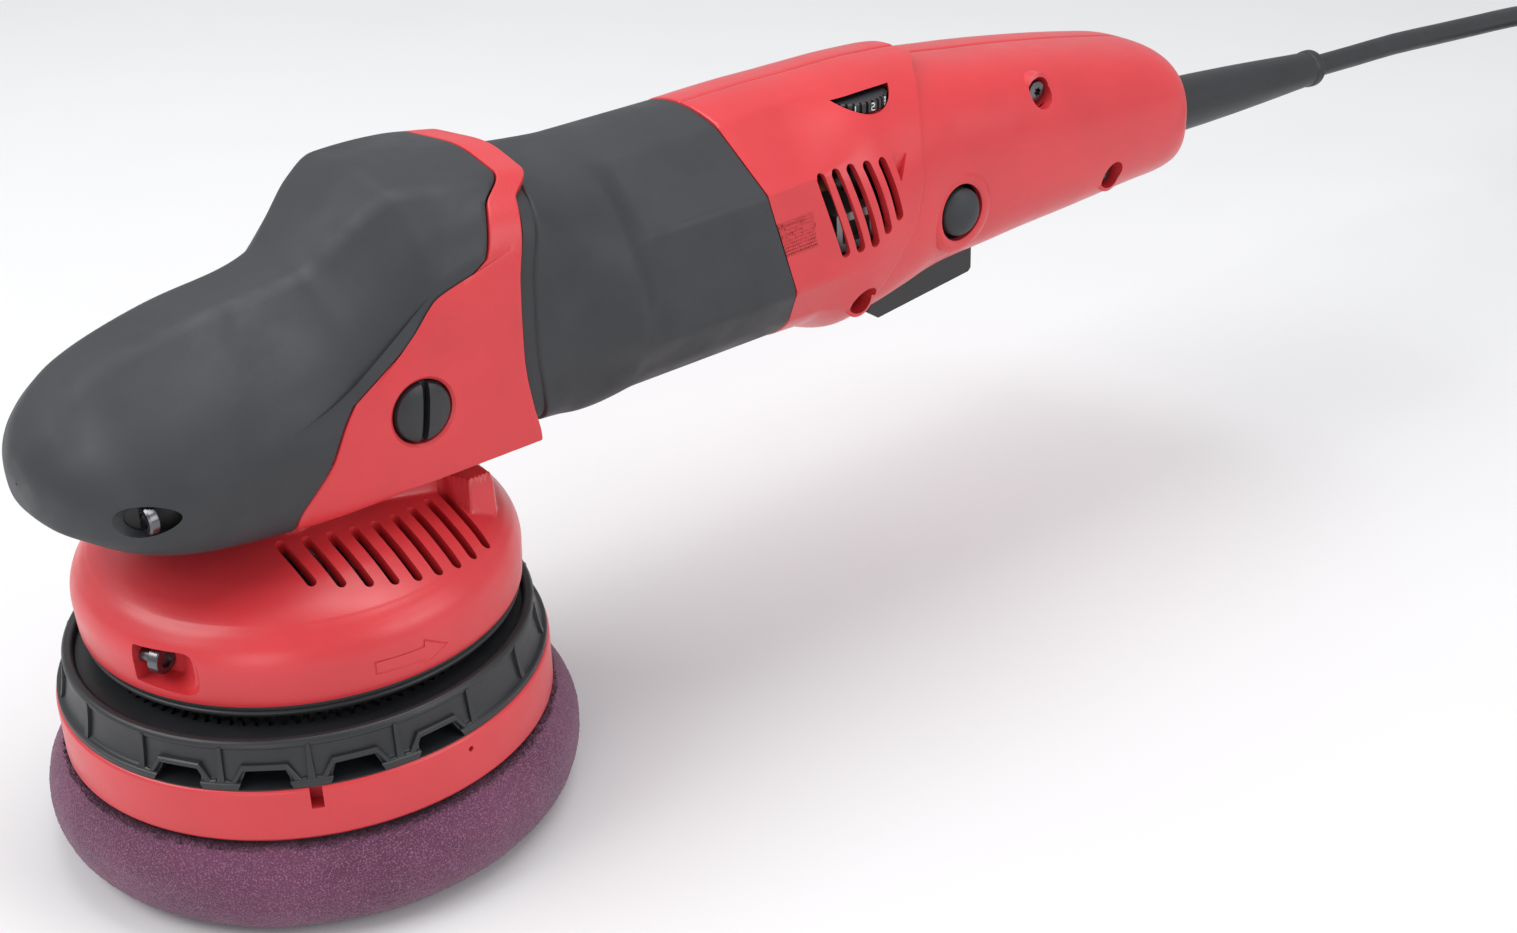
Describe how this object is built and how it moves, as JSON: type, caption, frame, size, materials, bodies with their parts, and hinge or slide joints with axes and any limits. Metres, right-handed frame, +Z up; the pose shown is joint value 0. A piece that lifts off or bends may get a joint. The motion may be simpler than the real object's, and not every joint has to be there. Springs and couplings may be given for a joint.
{
  "type": "dual action polisher",
  "caption": "Corded dual action polisher: gear driven eccentric foam pad under a right angle head, motor barrel, rear handle with trigger, dial and mains cord.",
  "frame": {"origin": "on the spindle axis, at the foam pad's working face", "axes": "+X to the rear along the motor, +Z up along the spindle, the lock button is on the -Y side"},
  "size_m": [0.7943, 0.1919, 0.1636],
  "materials": {
    "red_plastic": "satin moulded",
    "red_casting": "satin painted casting",
    "black_rubber": "matte soft touch",
    "black_plastic": "moulded nylon",
    "foam": "open cell foam",
    "hook_fabric": "hook and loop",
    "steel": "ground steel",
    "cast_metal": "machined casting",
    "laminations": "varnished laminations",
    "copper": "wound copper",
    "carbon": "pressed carbon",
    "circuit": "circuit board",
    "cord_rubber": "matte cable jacket",
    "plug_pins": "plated",
    "screws": "blackened steel"
  },
  "bodies": {
    "tool": {"spindle_bearing_lower": "steel", "spindle_bearing_upper": "steel", "bearing_retainer": "steel", "fixed_gear": "cast_metal", "fixed_gear_screws": "screws", "hood_seal": "black_rubber", "hood": "red_plastic", "hood_clamp_screw": "screws", "gear_head": "red_casting", "head_grip": "black_rubber", "grip_screws": "screws", "handle_plugs": "black_plastic", "bearing_bracket": "cast_metal", "bracket_screws": "screws", "motor_bearing_front": "steel", "motor_bearing_rear": "steel", "stator_core": "laminations", "field_coils": "copper", "air_baffle": "black_plastic", "motor_housing": "black_rubber", "brush_holders": "copper", "carbon_brushes": "carbon", "handle_shell_left": "red_plastic", "handle_shell_right": "red_plastic", "shell_screws": "screws", "switch_body": "black_plastic", "speed_module": "circuit", "trigger_spring": "steel", "cord_clamp": "black_plastic", "strain_relief": "black_rubber", "inner_cable": "cord_rubber", "cord_tube": "cord_rubber", "cord_coil": "cord_rubber", "cord_tail": "cord_rubber", "cord_tie": "hook_fabric", "mains_plug": "black_rubber", "plug_pins": "plug_pins"},
    "crank": {"eccentric_hub": "cast_metal", "counterweight": "steel", "spindle": "steel", "crown_gear": "steel", "crown_nut": "steel", "pad_bearings": "steel"},
    "pad": {"foam_pad": "foam", "hook_layer": "hook_fabric", "backing_plate": "red_plastic", "plate_screw": "steel", "ring_gear": "black_plastic", "ring_screws": "screws", "pad_spindle": "steel"},
    "armature": {"pinion": "steel", "motor_shaft": "steel", "armature_core": "laminations", "commutator": "copper", "fan": "black_plastic"},
    "dial": {"speed_dial": "black_plastic"},
    "trigger": {"trigger": "black_plastic"},
    "lock": {"lock_button": "black_rubber"}
  },
  "joints": [
    {"name": "crank_spin", "type": "hinge", "parent": "tool", "child": "crank", "pos_m": [0, 0, 0.06], "axis": [0, 0, 1], "continuous": true},
    {"name": "pad_spin", "type": "hinge", "parent": "crank", "child": "pad", "pos_m": [-0.00302, -0.00262, 0.05], "axis": [0, 0, 1], "continuous": true},
    {"name": "motor_spin", "type": "hinge", "parent": "tool", "child": "armature", "pos_m": [0.12, 0, 0.118], "axis": [1, 0, 0], "continuous": true},
    {"name": "dial_turn", "type": "hinge", "parent": "tool", "child": "dial", "pos_m": [0.176, -0.0118, 0.1465], "axis": [0, 0, 1], "range_deg": [0, 220]},
    {"name": "trigger_squeeze", "type": "hinge", "parent": "tool", "child": "trigger", "pos_m": [0.19, 0, 0.092], "axis": [0, -1, 0], "range_deg": [0, 7], "stiffness_Nm_per_rad": 1.2, "springref_deg": -2.86, "deforming": ["trigger_spring"]},
    {"name": "lock_press", "type": "slide", "parent": "tool", "child": "lock", "axis": [0, 1, 0], "range_m": [0, 0.003], "stiffness_N_per_m": 300, "springref_m": -0.001}
  ],
  "couplings": [
    {"joint": "pad_spin", "follows": "crank_spin", "ratio": -0.91667},
    {"joint": "motor_spin", "follows": "crank_spin", "ratio": 3}
  ]
}
